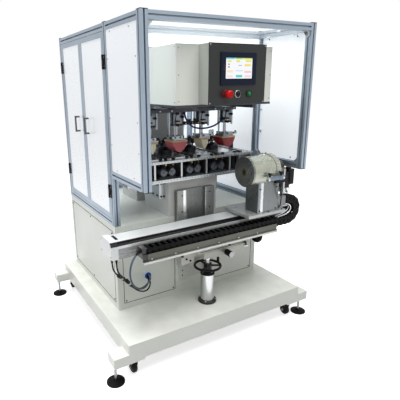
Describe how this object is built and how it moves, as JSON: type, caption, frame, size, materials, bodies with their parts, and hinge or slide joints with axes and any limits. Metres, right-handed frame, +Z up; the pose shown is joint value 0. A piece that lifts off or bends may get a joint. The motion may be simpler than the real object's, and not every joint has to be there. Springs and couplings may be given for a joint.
{
  "type": "pad printing machine",
  "caption": "Free-standing multi-colour pad printing machine: guarded cabinet, silicone pads on rams, and a rotary work head on a travelling slide.",
  "frame": {"origin": "on the floor, under the middle of the machine's outline", "axes": "+Z up, +Y towards the machine's back, +X to the right of a person facing it"},
  "size_m": [1.54, 1.3775, 1.94],
  "materials": {
    "base_paint": "powder coat, satin",
    "foot_black": "moulded foot on a black steel stem",
    "body_paint": "powder coat, satin",
    "grommet_blue": "moulded",
    "profile_aluminium": "anodised",
    "black_fittings": "moulded",
    "guard_panel": "satin sheet",
    "ground_steel": "ground",
    "table_steel": "ground and bolted",
    "cylinder_black": "black anodised",
    "cup_steel": "turned",
    "dark_steel": "ground",
    "panel_paint": "powder coat, satin",
    "panel_charcoal": "satin",
    "screen_plastic": "moulded bezel with glass",
    "jack_paint": "satin",
    "carriage_aluminium": "anodised",
    "plate_steel": "polished",
    "button_red": "moulded",
    "button_black": "moulded",
    "button_green": "moulded",
    "knee_steel": "ground and painted",
    "screw_steel": "ground",
    "wheel_black": "moulded on a steel core",
    "cross_steel": "satin",
    "module_aluminium": "anodised",
    "chain_plastic": "moulded",
    "housing_paint": "satin",
    "drive_black": "black anodised",
    "face_steel": "turned",
    "lead_black": "cable sheath",
    "lead_grey": "cable sheath",
    "caster_black": "black coated",
    "tread_black": "moulded",
    "ram_steel": "ground",
    "pad_cream": "silicone",
    "pad_red": "silicone"
  },
  "bodies": {
    "machine": {"base": "base_paint", "levelling_feet": "foot_black", "cabinet": "body_paint", "access_covers": "body_paint", "cable_grommet": "grommet_blue", "guard_posts": "profile_aluminium", "guard_rails": "profile_aluminium", "caps_and_hinges": "black_fittings", "guard_panels": "guard_panel", "machine_columns": "body_paint", "slide_way": "ground_steel", "print_table": "table_steel", "shuttle_cylinders": "cylinder_black", "ink_cups": "cup_steel", "head_housing": "body_paint", "head_slide": "dark_steel", "control_box": "panel_paint", "panel_plate": "panel_charcoal", "touch_screen": "screen_plastic", "jack_column": "jack_paint", "module_leads": "lead_black", "chain_lead": "lead_grey"},
    "front_door": {"front_door_frame": "profile_aluminium", "front_door_panel": "guard_panel"},
    "rear_door": {"rear_door_frame": "profile_aluminium", "rear_door_panel": "guard_panel"},
    "pad_head": {"pad_carriage": "carriage_aluminium"},
    "plate_shuttle": {"printing_plates": "plate_steel"},
    "stop_button": {"stop_button": "button_red"},
    "black_button": {"black_button": "button_black"},
    "green_button": {"green_button": "button_green"},
    "knee": {"knee": "knee_steel", "jack_screw": "screw_steel"},
    "jack_handwheel": {"jack_handwheel": "wheel_black"},
    "clamp_knob": {"clamp_knob": "wheel_black"},
    "cross_slide": {"cross_plate": "cross_steel", "linear_module": "module_aluminium", "chain_tray": "profile_aluminium", "energy_chain": "chain_plastic"},
    "cross_handwheel": {"cross_handwheel": "wheel_black"},
    "work_carriage": {"work_carriage": "carriage_aluminium", "rotary_housing": "housing_paint", "rotary_drive": "drive_black"},
    "work_face": {"face_disc": "face_steel"},
    "ram_1": {"pad_ram_1": "ram_steel", "pad_1": "pad_cream"},
    "caster_swivel_1": {"caster_fork_1": "caster_black"},
    "caster_wheel_1": {"caster_wheel_1": "tread_black"},
    "ram_2": {"pad_ram_2": "ram_steel", "pad_2": "pad_red"},
    "caster_swivel_2": {"caster_fork_2": "caster_black"},
    "caster_wheel_2": {"caster_wheel_2": "tread_black"},
    "ram_3": {"pad_ram_3": "ram_steel", "pad_3": "pad_cream"},
    "caster_swivel_3": {"caster_fork_3": "caster_black"},
    "caster_wheel_3": {"caster_wheel_3": "tread_black"},
    "ram_4": {"pad_ram_4": "ram_steel", "pad_4": "pad_red"},
    "caster_swivel_4": {"caster_fork_4": "caster_black"},
    "caster_wheel_4": {"caster_wheel_4": "tread_black"}
  },
  "joints": [
    {"name": "front_door_hinge", "type": "hinge", "parent": "machine", "child": "front_door", "pos_m": [-0.563, -0.18025, 1.375], "axis": [0, 0, 1], "range_deg": [0, 100]},
    {"name": "rear_door_hinge", "type": "hinge", "parent": "machine", "child": "rear_door", "pos_m": [-0.563, 0.62475, 1.375], "axis": [0, 0, 1], "range_deg": [-100, 0]},
    {"name": "pad_head_slide", "type": "slide", "parent": "machine", "child": "pad_head", "axis": [0, -1, 0], "range_m": [0, 0.322]},
    {"name": "ram_1_stroke", "type": "slide", "parent": "pad_head", "child": "ram_1", "axis": [0, 0, -1], "range_m": [-0.06, 0.01]},
    {"name": "ram_2_stroke", "type": "slide", "parent": "pad_head", "child": "ram_2", "axis": [0, 0, -1], "range_m": [-0.06, 0.01]},
    {"name": "ram_3_stroke", "type": "slide", "parent": "pad_head", "child": "ram_3", "axis": [0, 0, -1], "range_m": [-0.06, 0.01]},
    {"name": "ram_4_stroke", "type": "slide", "parent": "pad_head", "child": "ram_4", "axis": [0, 0, -1], "range_m": [-0.06, 0.01]},
    {"name": "plate_shuttle_slide", "type": "slide", "parent": "machine", "child": "plate_shuttle", "axis": [0, 1, 0], "range_m": [0, 0.14]},
    {"name": "stop_button_push", "type": "slide", "parent": "machine", "child": "stop_button", "axis": [0, 1, 0], "range_m": [0, 0.005]},
    {"name": "black_button_push", "type": "slide", "parent": "machine", "child": "black_button", "axis": [0, 1, 0], "range_m": [0, 0.003], "stiffness_N_per_m": 600, "springref_m": -0.003},
    {"name": "green_button_push", "type": "slide", "parent": "machine", "child": "green_button", "axis": [0, 1, 0], "range_m": [0, 0.003], "stiffness_N_per_m": 600, "springref_m": -0.003},
    {"name": "knee_lift", "type": "slide", "parent": "machine", "child": "knee", "axis": [0, 0, 1], "range_m": [-0.03, 0.008], "deforming": ["module_leads", "chain_lead"]},
    {"name": "jack_handwheel_turn", "type": "hinge", "parent": "machine", "child": "jack_handwheel", "pos_m": [0, -0.39725, 0.48], "axis": [0, 0, 1], "range_deg": [-1801, 481]},
    {"name": "clamp_knob_turn", "type": "hinge", "parent": "knee", "child": "clamp_knob", "pos_m": [0.1, -0.45025, 0.581], "axis": [0, -1, 0], "range_deg": [0, 180]},
    {"name": "cross_slide_travel", "type": "slide", "parent": "knee", "child": "cross_slide", "axis": [1, 0, 0], "range_m": [-0.015, 0.015], "deforming": ["module_leads", "chain_lead"]},
    {"name": "cross_handwheel_turn", "type": "hinge", "parent": "cross_slide", "child": "cross_handwheel", "pos_m": [0.396, -0.40025, 0.6275], "axis": [1, 0, 0], "range_deg": [-1351, 1351]},
    {"name": "work_carriage_travel", "type": "slide", "parent": "cross_slide", "child": "work_carriage", "axis": [-1, 0, 0], "range_m": [0, 0.68], "deforming": ["energy_chain"]},
    {"name": "work_face_turn", "type": "hinge", "parent": "work_carriage", "child": "work_face", "pos_m": [0.2, -0.49025, 1.093], "axis": [1, 0, 0], "continuous": true},
    {"name": "caster_swivel_1_turn", "type": "hinge", "parent": "machine", "child": "caster_swivel_1", "pos_m": [-0.6, -0.53525, 0.118], "axis": [0, 0, 1], "continuous": true},
    {"name": "caster_wheel_1_roll", "type": "hinge", "parent": "caster_swivel_1", "child": "caster_wheel_1", "pos_m": [-0.6, -0.51325, 0.0455], "axis": [1, 0, 0], "continuous": true},
    {"name": "caster_swivel_2_turn", "type": "hinge", "parent": "machine", "child": "caster_swivel_2", "pos_m": [0.6, -0.53525, 0.118], "axis": [0, 0, 1], "continuous": true},
    {"name": "caster_wheel_2_roll", "type": "hinge", "parent": "caster_swivel_2", "child": "caster_wheel_2", "pos_m": [0.6, -0.51325, 0.0455], "axis": [1, 0, 0], "continuous": true},
    {"name": "caster_swivel_3_turn", "type": "hinge", "parent": "machine", "child": "caster_swivel_3", "pos_m": [-0.6, 0.63475, 0.118], "axis": [0, 0, 1], "continuous": true},
    {"name": "caster_wheel_3_roll", "type": "hinge", "parent": "caster_swivel_3", "child": "caster_wheel_3", "pos_m": [-0.6, 0.65675, 0.0455], "axis": [1, 0, 0], "continuous": true},
    {"name": "caster_swivel_4_turn", "type": "hinge", "parent": "machine", "child": "caster_swivel_4", "pos_m": [0.6, 0.63475, 0.118], "axis": [0, 0, 1], "continuous": true},
    {"name": "caster_wheel_4_roll", "type": "hinge", "parent": "caster_swivel_4", "child": "caster_wheel_4", "pos_m": [0.6, 0.65675, 0.0455], "axis": [1, 0, 0], "continuous": true}
  ],
  "couplings": [
    {"joint": "jack_handwheel_turn", "follows": "knee_lift", "rad_per_m": 1047.2},
    {"joint": "cross_handwheel_turn", "follows": "cross_slide_travel", "rad_per_m": 1570.8}
  ]
}
